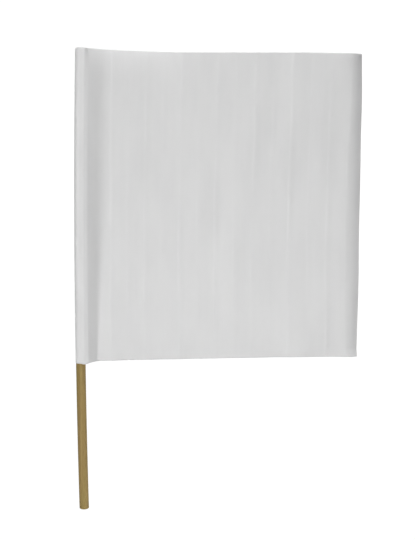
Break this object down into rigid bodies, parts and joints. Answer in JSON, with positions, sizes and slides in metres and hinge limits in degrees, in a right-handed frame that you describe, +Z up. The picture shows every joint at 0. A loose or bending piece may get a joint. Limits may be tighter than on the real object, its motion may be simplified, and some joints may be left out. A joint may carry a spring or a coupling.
{
  "type": "flag on a wooden staff",
  "caption": "Plain square white sheet flag, wrapped round a round wooden staff and stapled to it; the field swings about the staff and the bare lower end is the handle.",
  "frame": {"origin": "centre of the staff's foot, on its flat end face", "axes": "+Z up the staff; the flag stands out along +X; the sleeve wraps the side of the staff that faces -Y, which is the side the flag is seen from"},
  "size_m": [0.5711, 0.1049, 0.9144],
  "materials": {
    "hardwood": "satin",
    "white_vinyl": "satin",
    "staple_steel": "satin"
  },
  "bodies": {
    "staff": {"staff": "hardwood", "flag_sleeve": "white_vinyl", "staple_1": "staple_steel", "staple_2": "staple_steel", "staple_3": "staple_steel", "staple_4": "staple_steel", "staple_5": "staple_steel"},
    "flag": {"flag_panel": "white_vinyl"}
  },
  "joints": [
    {"name": "flag_swing", "type": "hinge", "parent": "staff", "child": "flag", "pos_m": [0.01937, 0.00045, 0], "axis": [0, 0, 1], "range_deg": [-90, 90], "stiffness_Nm_per_rad": 0.02}
  ]
}
